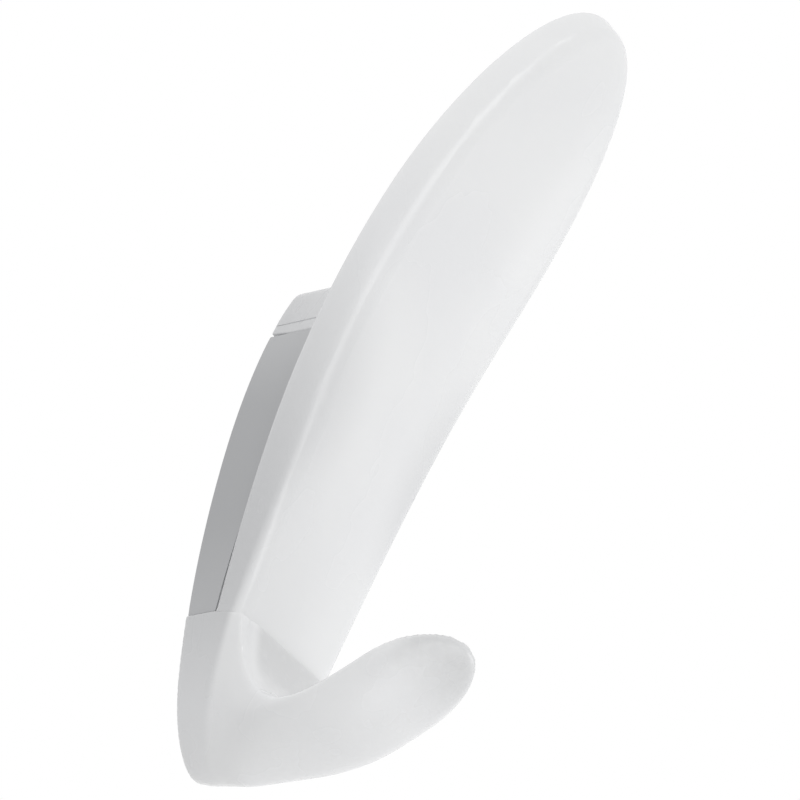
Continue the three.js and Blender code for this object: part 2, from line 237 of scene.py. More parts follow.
class CapSizes(bpy.types.PropertyGroup):
    """The cap that hangs on the plate's bead"""

    bottom: length("Bottom", "Height of the cap's lower edge", 0.0608)
    top: length("Top", "Height of the cap's flat top", 0.0742)
    corner_radius: length("Corner", "Radius of the top corners", 0.003)
    front_reach: length("Front", "Reach at which the cap ends inside the paddle", 0.0225)
    edge_radius: length("Edge", "Radius of the edges round the rear and the underside", 0.0004)
    groove_height: length("Groove height", "Height of the side grooves above the lower edge", 0.0023)
    groove_width: length("Groove width", "Width of the side grooves", 0.0004)
    groove_depth: length("Groove depth", "Depth of the side grooves", 0.00025)


class PlateSizes(bpy.types.PropertyGroup):
    """The wall plate and its bead"""

    half_width: length("Half width", "Half the plate's width at its widest", 0.0156)
    widest_height: length("Widest place", "Height of the widest place", 0.034)
    upper_rise: length("Upper rise", "Rise of the outline's upper half ellipse", 0.049)
    lower_drop: length("Lower drop", "Drop of the outline's lower half ellipse", 0.0595)
    end_inset: length("End inset", "How much smaller the lower end is all round", 0.0019)
    edge_radius: length("Edge", "Radius of the edge round the rear", 0.0005)
    bead_radius: length("Bead", "Radius of the bead", 0.002)
    bead_half_length: length("Bead half length", "Half the bead's length", 0.007)
    neck_thickness: length("Neck", "Thickness of the neck below the bead", 0.002)
    running_gap: length("Running gap", "Gap between the plate and the hook", 0.0004)
    seam_gap: length("Seam gap", "Gap between pieces that don't move on each other", 0.0003)
    rest_gap: length("Rest gap", "Gap between faces that lie on each other while the hook hangs", 0.00015)


class HookSizes(bpy.types.PropertyGroup):
    """The lower hook's cup and tongue"""

    cup_proud: length("Proud", "How far the cup stands out round the plate", 0.0004)
    cup_wall: length("Wall", "Thickness of the cup's wall", 0.0019)
    cup_swell: share("Cup swell", "How much fuller the cup's sides are than the plate's outline", 0.05)
    cup_edge_radius: length("Cup edge", "Radius of the cup's front edge", 0.0028)
    cup_front_drop: length("Chin", "Depth of the cup's front below the rim", 0.0286)
    valley_reach: length("Valley reach", "Reach of the tongue's lowest inside point", 0.028)
    valley_drop: length("Valley depth", "Depth of the tongue's lowest inside point below the rim", 0.0194)
    tongue_reach: length("Tongue reach", "Reach of the tongue's tip", 0.0558)
    tip_drop: length("Tip depth", "Depth of the tongue's tip below the rim", 0.0068)
    root_half_width: length("Root half width", "Half the tongue's width at the cup", 0.0108)
    half_width: length("Half width", "Half the tongue's width", 0.0112)
    root_thickness: length("Root thickness", "Thickness where the tongue leaves the paddle", 0.0082)
    corner_thickness: length("Corner thickness", "Thickness at the inside corner", 0.0104)
    valley_thickness: length("Valley thickness", "Thickness at the valley", 0.0042)
    tip_thickness: length("Tip thickness", "Thickness at the tip", 0.0022)
    tip_rounding: length("Tip rounding", "Length of the tongue's round end", 0.0150)
    root_share: share("Root share", "Share of the tongue over which its section turns round", 0.45)
    crown: share("Crown", "Bulge of the tongue's inside, as a share of its thickness", 0.10)
    voxel: length("Blend grain", "Grain at which cup and tongue are blended", 0.00035)


class Finishes(bpy.types.PropertyGroup):
    """Colours and gloss"""

    frosted: colour("Frosted plastic", "Colour of both hooks", (0.825, 0.83, 0.835))
    frosted_shade: colour("Frosted shade", "Colour of the cloudier places", (0.805, 0.81, 0.82))
    # Partly the plate's grey seen through the plastic, partly painted shade where the plate keeps light from
    # behind
    frosted_on_plate: colour("Frosted on plate", "Colour where the plate shows through", (0.595, 0.60, 0.61))
    # Painted shade for the nook under the paddle, darker than the plastic round it
    nook: colour("Nook", "Colour of the grained corner above the tongue", (0.67, 0.675, 0.68))
    grey: colour("Plate", "Colour of the wall plate", (0.485, 0.49, 0.50))
    grey_shade: colour("Plate shade", "Colour of the plate's darker places", (0.41, 0.415, 0.425))
    foam: colour("Foam", "Colour of the strip's core", (0.86, 0.85, 0.80))
    adhesive: colour("Adhesive", "Colour of the adhesive skins", (0.72, 0.74, 0.72))
    tab: colour("Pull tab", "Colour of the pull tab", (0.88, 0.88, 0.86))
    gloss: share("Roughness", "Roughness of the frosted plastic", 0.27)


class StageSettings(bpy.types.PropertyGroup):
    """Camera, lamps and floor"""

    azimuth: angle("Azimuth", "Direction of the camera round the hook", -45.55)
    elevation: angle("Elevation", "Height of the camera above the horizon", -32.325)
    roll: angle("Roll", "Turn of the camera about its own axis", 15.73)
    distance: length("Distance", "Distance from the camera to the aim", 1.0206)
    lens: FloatProperty(
        name="Focal length", description="Focal length in millimetres", unit="CAMERA", default=258.2,
    )
    aim: FloatVectorProperty(
        name="Aim", description="Point in the middle of the picture", subtype="TRANSLATION",
        default=(-0.00237, -0.02683, 0.0247),
    )
    floor_height: length("Floor", "Height of the floor", -1.6)
    floor_size: length("Floor size", "Width of the floor", 16)
    ambient: share("Ambient", "Strength of the light from all round", 0.785)
    front_power: power("Front lamp", "Power of the lamp in front", 1.8)
    strip_power: power("Strip lamp", "Power of the tall lamp that draws the highlights", 1.0)
    upper_power: power("Upper lamp", "Power of the near lamp at the upper left", 0.048)
    corner_power: power("Corner lamp", "Power of the small lamp for the tongue's root", 0.2)
    low_power: power("Low lamp", "Power of the lamp below", 0.75)


GROUPS = {
    "coat_hook_paddle": PaddleSizes,
    "coat_hook_cap": CapSizes,
    "coat_hook_plate": PlateSizes,
    "coat_hook_lower": HookSizes,
    "coat_hook_finishes": Finishes,
    "coat_hook_stage": StageSettings,
}


# Work in edit mode

def clear_selection():
    if bpy.context.mode != "OBJECT":
        bpy.ops.object.mode_set(mode="OBJECT")
    bpy.ops.object.select_all(action="DESELECT")


def work_on(obj):
    clear_selection()
    obj.select_set(True)
    bpy.context.view_layer.objects.active = obj


def edit(obj):
    work_on(obj)
    bpy.ops.object.mode_set(mode="EDIT")


def select_everything():
    bpy.ops.mesh.select_all(action="SELECT")


def resize(ratio, centre):
    bpy.ops.transform.resize(value=ratio, center_override=centre)


def choose(obj, kind, test):
    """Selects the vertices, edges or faces that pass a test, and nothing else."""
    bpy.ops.mesh.select_mode(type=kind)
    bpy.ops.mesh.select_all(action="DESELECT")
    mesh = bmesh.from_edit_mesh(obj.data)
    for item in {"VERT": mesh.verts, "EDGE": mesh.edges, "FACE": mesh.faces}[kind]:
        if test(item):
            item.select_set(True)
    mesh.select_flush_mode()
    bmesh.update_edit_mesh(obj.data)


def close_up():
    """Merges doubles of the mesh in edit mode and turns its faces outward."""
    select_everything()
    bpy.ops.mesh.remove_doubles(threshold=TOUCHING)
    bpy.ops.mesh.normals_make_consistent(inside=False)


def level_edges(depth):
    """A test for sharp edges that lie flat at one depth."""
    def test(edge):
        flat = all(abs(vert.co.z - depth) < TOUCHING for vert in edge.verts)
        return flat and len(edge.link_faces) == 2 and edge.calc_face_angle() > SHARP_EDGE
    return test


def edges_round(is_inner):
    """A test for edges between a face that passes a test and one that doesn't."""
    def test(edge):
        return len(edge.link_faces) == 2 and len([face for face in edge.link_faces if is_inner(face)]) == 1
    return test


def round_edges(obj, test, offset):
    choose(obj, "EDGE", test)
    bpy.ops.mesh.bevel(
        offset_type="OFFSET", offset=offset, segments=EDGE_SEGMENTS, profile=0.5, affect="EDGES",
    )


def flat_sheet(name, stations, depths=None):
    """Draws a sheet out along Y through stations, each a half width and a place along, at depths along Z.

    Its first two edges are sized apart from each other, so that neither is taken for the other.
    """
    depths = depths or [0] * len(stations)
    clear_selection()
    bpy.ops.mesh.primitive_plane_add(size=1)
    sheet = bpy.context.object
    sheet.name = name
    sheet.data.name = name
    edit(sheet)
    for side, (half_width, along), depth in zip((-0.5, 0.5), stations, depths):
        choose(sheet, "EDGE", lambda edge: all(abs(vert.co.y - side) < TOUCHING for vert in edge.verts))
        resize((2 * half_width, 1, 1), (0, side, 0))
        bpy.ops.transform.translate(value=(0, along - side + math.copysign(APART, side), depth))
    for side in (-1, 1):
        choose(sheet, "EDGE", lambda edge: all(vert.co.y * side > APART / 2 for vert in edge.verts))
        bpy.ops.transform.translate(value=(0, -APART * side, 0))
    (last_half_width, last_along), last_depth = stations[1], depths[1]
    for (half_width, along), depth in zip(stations[2:], depths[2:]):
        step = (0, along - last_along, depth - last_depth)
        bpy.ops.mesh.extrude_edges_move(TRANSFORM_OT_translate={"value": step})
        resize((half_width / last_half_width, 1, 1), (0, along, depth))
        last_half_width, last_along, last_depth = half_width, along, depth
    return sheet


def cut_lines(normal, start, end, count):
    """Adds lines square to a direction to the mesh in edit mode, so that it can bend."""
    for step in range(count):
        place_along = start + (end - start) * (step + 0.5) / count
        select_everything()
        bpy.ops.mesh.bisect(plane_co=Vector(normal) * place_along, plane_no=normal, threshold=TOUCHING)


def thicken(sheet, start, end):
    """Turns the sheet in edit mode into a slab between two depths along Z."""
    select_everything()
    bpy.ops.transform.translate(value=(0, 0, start))
    bpy.ops.mesh.extrude_region_move(TRANSFORM_OT_translate={"value": (0, 0, end - start)})
    close_up()
    return sheet


def place(obj, matrix):
    """Puts an object in the part's frame, with its place in its mesh."""
    work_on(obj)
    obj.matrix_world = matrix @ obj.matrix_world
    bpy.ops.object.transform_apply(location=True, rotation=True, scale=True)
    return obj


def stand_up(obj):
    """From a front view, X across, Y up and Z outward, to the part's frame."""
    return place(obj, Matrix.Translation((0, 0, RIM)) @ Matrix.Rotation(math.pi / 2, 4, "X"))


def apply_modifier(obj, kind, **settings):
    work_on(obj)
    modifier = obj.modifiers.new(kind.title(), kind)
    for name, value in settings.items():
        setattr(modifier, name, value)
    bpy.ops.object.modifier_apply(modifier=modifier.name)


def combine(obj, tool, operation):
    """Joins, cuts or intersects an object with a tool, which is used up."""
    apply_modifier(obj, "BOOLEAN", object=tool, operation=operation, solver="EXACT")
    if not obj.data.polygons:
        raise RuntimeError(f"{obj.name} has nothing left after {operation} with {tool.name}")
    mesh = tool.data
    bpy.data.objects.remove(tool)
    bpy.data.meshes.remove(mesh)
    return obj


def cut_flat(obj, point, normal):
    """Cuts away what lies on the side of a plane that its normal points to, and closes the cut."""
    edit(obj)
    select_everything()
    bpy.ops.mesh.bisect(plane_co=point, plane_no=normal, use_fill=True, clear_outer=True, threshold=TOUCHING)
    bpy.ops.object.mode_set(mode="OBJECT")
    return obj


def smooth_shading(obj, sharpest):
    """Shades an object smooth except over edges that turn by more than an angle in degrees."""
    work_on(obj)
    bpy.ops.object.shade_smooth_by_angle(angle=math.radians(sharpest))


def flat_face_shading(obj):
    """Smooth shading in which large flat faces stay flat up to their rounded edges."""
    smooth_shading(obj, FLAT_SHADING)
    apply_modifier(obj, "WEIGHTED_NORMAL", keep_sharp=True, weight=100)


def bend(obj, knots):
    """Bends a flat piece, X across and Y along, round a side curve of knots, and stands it in the frame.

    Each knot is a point and its two handles as (reach, height). Z is the depth to the left of the curve.
    """
    clear_selection()
    bpy.ops.curve.primitive_bezier_curve_add()
    curve = bpy.context.object
    curve.data.dimensions = "3D"
    curve.data.twist_mode = "Z_UP"
    curve.data.resolution_u = CURVE_STEPS
    points = curve.data.splines[0].bezier_points
    points.add(len(knots) - len(points))
    for point, (before, middle, after) in zip(points, knots):
        point.handle_left_type = "FREE"
        point.handle_right_type = "FREE"
        point.co = (*middle, 0)
        point.handle_left = (*before, 0)
        point.handle_right = (*after, 0)
    apply_modifier(obj, "CURVE", object=curve, deform_axis="POS_Y")
    path = curve.data
    bpy.data.objects.remove(curve)
    bpy.data.curves.remove(path)
    turn = Matrix((OUTWARD, UP, -Vector(ACROSS))).transposed().to_4x4()
    return place(obj, Matrix.Translation((0, 0, RIM)) @ turn)


def curve_length(knots):
    total = 0
    for (_, start, after), (before, end, _) in zip(knots, knots[1:]):
        handles = [Vector((*point, 0)) for point in (start, after, before, end)]
        points = interpolate_bezier(*handles, CURVE_STEPS)
        total += sum((b - a).length for a, b in zip(points, points[1:]))
    return total


def evenly(start, end, count):
    """Places from a start to an end in equal steps."""
    return [start + (end - start) * step / count for step in range(count + 1)]


def ease(value, start, end):
    """Rises smoothly from 0 at one value to 1 at another, which may be the lower."""
    share_reached = min(1, max(0, (value - start) / (end - start)))
    return share_reached * share_reached * (3 - 2 * share_reached)


def hand_over(piece, node, body):
    """The piece stands for a CAD node, and moves with its body."""
    clear_selection()
    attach(piece, body)
    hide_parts(node)


# Outlines and curves that pieces share

def egg_half_width(plate, height, offset):
    """Half the width of the plate's egg-shaped outline at a height, grown by an offset."""
    rise = plate.upper_rise if height > plate.widest_height else plate.lower_drop
    level = (height - plate.widest_height) / (rise + offset)
    return (plate.half_width + offset) * math.sqrt(max(0, 1 - level * level))


def egg_stations(plate, low, high, offset=0):
    """Half widths and heights of the grown outline between two heights, crowded towards its ends."""
    bottom = (low - plate.widest_height) / (plate.lower_drop + offset)
    rise = plate.upper_rise if high > plate.widest_height else plate.lower_drop
    top = (high - plate.widest_height) / (rise + offset)
    stations = []
    for turn in evenly(math.asin(max(-1, bottom) * NEARLY_END), math.asin(min(1, top)), TIP_STEPS):
        reach = plate.lower_drop if turn < 0 else plate.upper_rise
        height = plate.widest_height + (reach + offset) * math.sin(turn)
        stations.append((egg_half_width(plate, height, offset), height))
    return stations


def face_knots(paddle):
    """Side curve of the paddle's face, from the rim to the tip."""
    rim = Vector((paddle.rim_reach, 0))
    tip = Vector((paddle.tip_reach, paddle.tip_height))
    rim_handle = Vector((math.sin(paddle.rim_lean), math.cos(paddle.rim_lean))) * paddle.rim_handle
    tip_handle = Vector((math.sin(paddle.tip_lean), math.cos(paddle.tip_lean))) * paddle.tip_handle
    return [(rim - rim_handle, rim, rim + rim_handle), (tip - tip_handle, tip, tip + tip_handle)]


def grown(paddle, along):
    """Share of the paddle's taper that is reached at a distance along its face."""
    reached = min(1, max(0, along / paddle.taper))
    return reached * (2 - reached)


def thickness_at(paddle, along):
    return paddle.rim_thickness + (paddle.thickness - paddle.rim_thickness) * grown(paddle, along)


def draft_at(paddle, along):
    return paddle.rim_draft + (paddle.draft - paddle.rim_draft) * grown(paddle, along)


def behind_paddle(paddle, gap):
    """A slab that fills the space between the wall and a surface at a gap behind the paddle's back."""
    alongs = evenly(-FAR, curve_length(face_knots(paddle)), PROFILE_STEPS)
    depths = [thickness_at(paddle, along) + gap for along in alongs]
    sheet = flat_sheet("behind_paddle", [(FAR / 2, along) for along in alongs], depths)
    return bend(thicken(sheet, 0, FAR), face_knots(paddle))


def seam_plane(paddle, gap):
    """A point of the seam between paddle and lower hook, a gap above the rim, and its downward normal."""
    back = Vector((0, paddle.rim_thickness - paddle.rim_reach, RIM + gap))
    return back, Vector((0, paddle.seam_fall, -paddle.rim_thickness)).normalized()


def bar_across(name, radius, half_length):
    """A round bar across the hook at the bead's place."""
    clear_selection()
    bpy.ops.mesh.primitive_cylinder_add(
        vertices=SECTION_SIDES, radius=radius, depth=2 * half_length,
        location=BEAD_PLACE, rotation=(0, math.pi / 2, 0),
    )
    bar = bpy.context.object
    bar.name = name
    bpy.ops.object.transform_apply(location=True, rotation=True, scale=True)
    return bar


def block(name, low, high):
    """A plain block between two corners, as a tool for joining and cutting."""
    clear_selection()
    middle = (Vector(low) + Vector(high)) / 2
    bpy.ops.mesh.primitive_cube_add(size=1, location=middle, scale=Vector(high) - Vector(low))
    cube = bpy.context.object
    cube.name = name
    bpy.ops.object.transform_apply(location=True, rotation=True, scale=True)
    return cube


def tenon(paddle, clearance, top):
    """The tongue of plastic that joins the paddle to the lower hook, grown by a clearance."""
    half_width = paddle.tenon_half_width + clearance
    stations = [(half_width, -paddle.tenon_length - clearance), (half_width, top)]
    face = paddle.tenon_face_inset - clearance
    back = paddle.rim_thickness - paddle.tenon_back_inset + clearance
    return bend(thicken(flat_sheet("tenon", stations), face, back), face_knots(paddle))


# Finishes

class Signal:
    """A value that changes over a surface. Arithmetic on it adds Math nodes."""

    def __init__(self, finish, socket):
        self.finish = finish
        self.socket = socket

    def _math(self, operation, first, second):
        return self.finish.node("ShaderNodeMath", {"operation": operation}, {0: first, 1: second})

    def __add__(self, other):
        return self._math("ADD", self, other)

    def __radd__(self, other):
        return self._math("ADD", other, self)

    def __sub__(self, other):
        return self._math("SUBTRACT", self, other)

    def __rsub__(self, other):
        return self._math("SUBTRACT", other, self)

    def __mul__(self, other):
        return self._math("MULTIPLY", self, other)

    def __rmul__(self, other):
        return self._math("MULTIPLY", other, self)


class Finish:
    """A material or world under construction."""

    def __init__(self, owner):
        owner.use_nodes = True
        self.tree = owner.node_tree
        self.tree.nodes.clear()

    def node(self, kind, settings, inputs, output=0):
        """Adds a node with its settings, fills its sockets and gives one of its outputs."""
        made = self.tree.nodes.new(kind)
        for name, value in settings.items():
            setattr(made, name, value)
        for name, value in inputs.items():
            if isinstance(value, Signal):
                self.tree.links.new(value.socket, made.inputs[name])
            else:
                made.inputs[name].default_value = value
        return Signal(self, made.outputs[output]) if made.outputs else None

    def place(self):
        return self.node("ShaderNodeTexCoord", {}, {}, "Object")

    def noise(self, scale, detail, roughness=0.5, stretch=(1, 1, 1)):
        vector = self.node("ShaderNodeMapping", {}, {"Vector": self.place(), "Scale": stretch})
        inputs = {"Vector": vector, "Scale": scale, "Detail": detail, "Roughness": roughness}
        return self.node("ShaderNodeTexNoise", {"noise_dimensions": "3D"}, inputs)

    def ramp(self, value, start, end):
        """Rises smoothly from 0 at one value to 1 at another, which may be the lower."""
        inputs = {"Value": value, "From Min": start, "From Max": end}
        return self.node("ShaderNodeMapRange", {"interpolation_type": "SMOOTHSTEP"}, inputs)

    def mix(self, factor, first, second):
        """A colour between two colours, each written or the output of a node."""
        inputs = {"Factor": factor}
        for socket, tone in zip(COLOUR_SOCKETS, (first, second)):
            inputs[socket] = tone if isinstance(tone, Signal) else (*tone, 1)
        return self.node("ShaderNodeMix", {"data_type": "RGBA"}, inputs, COLOUR_RESULT)

    def vector(self, operation, first, second=(0, 0, 0), output=0):
        return self.node("ShaderNodeVectorMath", {"operation": operation}, {0: first, 1: second}, output)

    def along(self, direction):
        """How far a place lies along a direction."""
        return self.vector("DOT_PRODUCT", self.place(), direction, output="Value")

    def distance(self, middle, spread):
        """Distance from a place, counted in spreads along each axis."""
        apart = self.vector("SUBTRACT", self.place(), middle)
        return self.vector("LENGTH", self.vector("DIVIDE", apart, spread), output="Value")

    def cells(self, scale):
        inputs = {"Vector": self.place(), "Scale": scale, "Randomness": 1}
        return self.node("ShaderNodeTexVoronoi", {}, inputs)

    def bump(self, height, strength):
        inputs = {"Height": height, "Strength": strength, "Distance": GRAIN_DEPTH}
        return self.node("ShaderNodeBump", {}, inputs)

    def plastic(self, inputs):
        shader = self.node("ShaderNodeBsdfPrincipled", {}, inputs)
        self.node("ShaderNodeOutputMaterial", {}, {"Surface": shader})


def toned(tone, ratio):
    """A darker or paler version of a colour."""
    return tuple(min(1, ratio * part) for part in tone)


def frosted_plastic(finish, finishes):
    """Satin, slightly see-through white plastic with a fine grain, greyer where the plate shows through, with
    painted shade on the paddle's sides, the cap, the cup near the rim, the face's edges and the nook.
    """
    cloud = finish.noise(scale=38, detail=3)
    grain = finish.noise(scale=1700, detail=2, roughness=0.6)
    flow = finish.noise(scale=120, detail=2, stretch=(1, 1, 0.2))
    across, up = finish.along(ACROSS), finish.along(UP)
    # Painted shade, partly the plate's grey seen through: the paddle's sides, the cap and the cup near the rim darker;     the face, the free paddle and the cup further down lighter
    front = finish.ramp(finish.along(OUT_OF_FACE), *FACE_BAND)
    free = finish.ramp(finish.along(OUT_AND_UP), *FREE_BAND)
    below = finish.ramp(up, *BELOW_BAND)
    plate_grey_and_shade = (1 - front) * (1 - free) * (1 - below)
    polish = 0
    for side in (-1, 1):
        middle = (side * EDGE_MIDDLE[0], *EDGE_MIDDLE[1:])
        # Painted shade: the face darker towards its edges at mid-height, beside the plate
        plate_grey_and_shade = plate_grey_and_shade + EDGE_PAINTED_SHADE * front * finish.ramp(finish.distance(middle, EDGE_SPREAD), *EDGE_BAND)
        corner = (side * ROOT_CORNER[0], *ROOT_CORNER[1:])
        polish = polish + finish.ramp(finish.distance(corner, ROOT_SPREAD), *ROOT_BAND)
    # Painted shade in the nook under the paddle above the tongue, broken up by a speckle
    nook = finish.ramp(across * across, NOOK_HALF_WIDTH ** 2, NOOK_CORE ** 2)
    nook = nook * finish.ramp(finish.along(OUTWARD), *NOOK_REACHES)
    nook = nook * finish.ramp(up, *NOOK_TOP_BAND) * finish.ramp(up, *NOOK_FOOT_BAND)
    speckle = finish.noise(scale=700, detail=2)
    tone = finish.mix(finish.ramp(cloud, start=0.35, end=0.7), finishes.frosted, finishes.frosted_shade)
    tone = finish.mix(nook * (0.7 + 0.6 * speckle), tone, finishes.nook)
    finish.plastic({
        # Painted shade and the plate's grey, mixed into the colour
        "Base Color": finish.mix(plate_grey_and_shade, tone, finishes.frosted_on_plate),
        "Roughness": finishes.gloss + 0.10 * (cloud - 0.5) + 0.08 * (flow - 0.5) - 0.14 * polish,
        "Normal": finish.bump(grain + 0.6 * flow, strength=0.05),
        "IOR": PLASTIC_IOR,
        "Subsurface Weight": 0.3,
        "Subsurface Radius": (1.0, 1.0, 1.0),
        "Subsurface Scale": 0.002,
    })


def grey_plastic(finish, finishes):
    """Satin grey plastic, darker in its middle, with fine upright flow lines."""
    cloud = finish.noise(scale=45, detail=2)
    grain = finish.noise(scale=1800, detail=3, roughness=0.6)
    flow = finish.noise(scale=260, detail=2, stretch=(1, 1, 0.08))
    off_middle = finish.distance(PLATE_MIDDLE, PLATE_HALF)
    ends = finish.ramp(off_middle + 0.3 * (cloud - 0.5), *PLATE_BAND)
    finish.plastic({
        "Base Color": finish.mix(ends, finishes.grey_shade, finishes.grey),
        "Roughness": 0.46 + 0.1 * (flow - 0.5),
        "Normal": finish.bump(grain + 0.5 * flow, strength=0.06),
        "IOR": PLASTIC_IOR,
    })


def foam(finish, finishes):
    """Soft white foam with small open cells."""
    cloud = finish.noise(scale=160, detail=3)
    pores = finish.ramp(finish.cells(scale=2600), start=0.1, end=0.55)
    finish.plastic({
        "Base Color": finish.mix(pores, toned(finishes.foam, 0.78), finishes.foam),
        "Roughness": 0.86 + 0.1 * (cloud - 0.5),
        "Normal": finish.bump(pores, strength=0.35),
    })


def adhesive(finish, finishes):
    """Tacky film: pale, glossy in patches, with trapped specks of air."""
    patches = finish.noise(scale=210, detail=4, roughness=0.6)
    air = finish.ramp(finish.cells(scale=420), start=0.2, end=0.12)
    finish.plastic({
        "Base Color": finish.mix(air, finishes.adhesive, toned(finishes.adhesive, 1.12)),
        "Roughness": 0.2 + 0.3 * patches,
        "Normal": finish.bump(patches + air, strength=0.12),
        "IOR": FILM_IOR,
    })


def tab_film(finish, finishes):
    """Smooth white film with fine cross ribs for the fingers."""
    bands = {"wave_type": "BANDS", "bands_direction": "Z"}
    ribs = finish.node("ShaderNodeTexWave", bands, {"Vector": finish.place(), "Scale": 260, "Distortion": 0})
    cloud = finish.noise(scale=140, detail=3)
    finish.plastic({
        "Base Color": finish.mix(cloud, finishes.tab, toned(finishes.tab, 0.93)),
        "Roughness": 0.4 + 0.12 * (cloud - 0.5),
        "Normal": finish.bump(ribs, strength=0.25),
    })


def shared_material(finishes, maker):
    """The material that a maker fills in, made once. The frame's own materials hold the plain names."""
    name = maker.__name__ + "_finish"
    found = bpy.data.materials.get(name)
    if not found:
        found = bpy.data.materials.new(name)
        maker(Finish(found), finishes)
    return found


# Operators, one for each piece or group of pieces and one for the stage

class COATHOOK_OT_upper_prong(bpy.types.Operator):
    """Model the leaning paddle with its cap, slot and tenon"""

    bl_idname = "coathook.upper_prong"
    bl_label = "Upper Prong"

    def execute(self, context):
        scene = context.scene
        paddle, cap, plate = scene.coat_hook_paddle, scene.coat_hook_cap, scene.coat_hook_plate
        blade = self.blade(paddle)
        cut_flat(blade, *seam_plane(paddle, plate.rest_gap))
        combine(blade, self.cap(cap, plate), "UNION")
        combine(blade, tenon(paddle, 0, OVERRUN), "UNION")
        self.cut_slot(blade, cap, plate)
        flat_face_shading(blade)
        blade.data.materials.append(shared_material(scene.coat_hook_finishes, frosted_plastic))
        hand_over(blade, "upper_prong", "hook")
        return {"FINISHED"}

    def outline(self, paddle, along_end):
        """Points of the face's right edge as (half width, along), from below the rim to the tip."""
        rim, widest = paddle.rim_half_width, paddle.half_width
        knots = (
            Vector((rim, 0, 0)),
            Vector((rim + paddle.swell * (widest - rim), paddle.rim_width_handle, 0)),
            Vector((widest, paddle.widest_along - paddle.widest_handle, 0)),
            Vector((widest, paddle.widest_along, 0)),
        )
        points = [Vector((rim, -2 * OVERRUN)), Vector((rim, -OVERRUN))]
        points += [point.to_2d() for point in interpolate_bezier(*knots, OUTLINE_STEPS)]
        for step in range(1, TIP_STEPS + 1):
            turn = (1 - (1 - step / (TIP_STEPS + 1)) ** TIP_CROWDING) * math.pi / 2
            along = paddle.widest_along + (along_end - paddle.widest_along) * math.sin(turn)
            points.append(Vector((widest * math.cos(turn), along)))
        return points

    def blade(self, paddle):
        """Face and back as two sheets, bridged round the edge and rounded, then bent to the lean."""
        knots = face_knots(paddle)
        end = curve_length(knots)
        points = self.outline(paddle, end)
        back = []
        for before, point, after in zip([points[0], *points], points, [*points[1:], points[-1]]):
            edge = after - before
            outward = Vector((edge.y, -edge.x)).normalized()
            back.append(tuple(point + draft_at(paddle, point.y) * outward))
        depths = [thickness_at(paddle, along) for _, along in back]
        rear = flat_sheet("back", back, depths)
        bpy.ops.object.mode_set(mode="OBJECT")
        blade = flat_sheet("upper_prong_shell", [tuple(point) for point in points])
        bpy.ops.object.mode_set(mode="OBJECT")
        rear.select_set(True)
        bpy.ops.object.join()
        edit(blade)
        choose(blade, "EDGE", lambda edge: edge.is_boundary)
        bpy.ops.mesh.bridge_edge_loops()
        close_up()
        choose(blade, "FACE", lambda face: face.normal.z < -FACING)
        bpy.ops.mesh.dissolve_faces()
        above = paddle.taper
        choose(blade, "FACE", lambda face: face.normal.z > FACING and face.calc_center_median().y > above)
        bpy.ops.mesh.dissolve_faces()
        round_edges(blade, edges_round(lambda face: face.normal.z < -FACING), paddle.face_radius)
        round_edges(blade, edges_round(lambda face: face.normal.z > LEANING), paddle.back_radius)
        cut_lines((0, 1, 0), -OVERRUN, end, PROFILE_STEPS)
        cut_lines((1, 0, 0), -paddle.half_width, paddle.half_width, OUTLINE_STEPS)
        self.bulge(blade, paddle, points, end)
        return bend(blade, knots)

    def bulge(self, blade, paddle, points, end):
        """Crowns the face: nothing at its edge and at the rim, most along its middle."""
        work_on(blade)
        group = blade.vertex_groups.new(name="crown")
        near = [point for point in points if point.y <= paddle.widest_along]
        for vert in blade.data.vertices:
            across, along, depth = vert.co
            over = max(0, along - paddle.widest_along) / (end - paddle.widest_along)
            level = min(near, key=lambda point: abs(point.y - along)).x if over == 0 else paddle.half_width
            rise = 1 - (across / level) ** 2 - over ** 2
            behind = 1 - depth / thickness_at(paddle, along)
            group.add([vert.index], max(0, min(1, rise * behind * grown(paddle, along))), "REPLACE")
        apply_modifier(
            blade, "DISPLACE", vertex_group="crown", direction="Z", strength=-paddle.crown, mid_level=0,
        )

    def cap(self, cap, plate):
        """A block with the plate's outline, round top corners, side grooves and room below for the tilt."""
        shoulder = cap.top - cap.corner_radius
        heights = evenly(cap.bottom + OVERRUN, shoulder, EDGE_SEGMENTS)
        stations = [(egg_half_width(plate, height, 0), height) for height in (cap.bottom - OVERRUN, *heights)]
        wide = egg_half_width(plate, cap.top, 0)
        start = Vector((stations[-1][0], shoulder))
        corner, end = Vector((wide, cap.top)), Vector((wide - cap.corner_radius, cap.top))
        for step in range(1, EDGE_SEGMENTS + 1):
            turn = step / EDGE_SEGMENTS
            stations.append(tuple(start.lerp(corner, turn).lerp(corner.lerp(end, turn), turn)))
        solid = thicken(flat_sheet("cap", stations), REAR_REACH, cap.front_reach)
        stand_up(solid)
        under = (0, BEAD_PLACE.y, RIM + cap.bottom - plate.running_gap + plate.rest_gap)
        cut_flat(solid, under, (0, 0, -1))
        cut_flat(solid, under, (0, math.sin(TILT_LIMIT), -math.cos(TILT_LIMIT)))
        edit(solid)
        choose(solid, "FACE", lambda face: face.normal.y > FACING)
        bpy.ops.mesh.dissolve_faces()
        is_rear = edges_round(lambda face: face.normal.y > FACING)
        is_under = edges_round(lambda face: face.normal.z < -LEANING)
        round_edges(solid, lambda edge: is_rear(edge) or is_under(edge), cap.edge_radius)
        groove = cap.bottom + cap.groove_height
        floor = egg_half_width(plate, groove, 0) - cap.groove_depth
        for inner, outer in ((-plate.half_width, -floor), (floor, plate.half_width)):
            low = (inner, -cap.front_reach, RIM + groove)
            high = (outer, 0, RIM + groove + cap.groove_width)
            combine(solid, block("groove", low, high), "DIFFERENCE")
        return solid

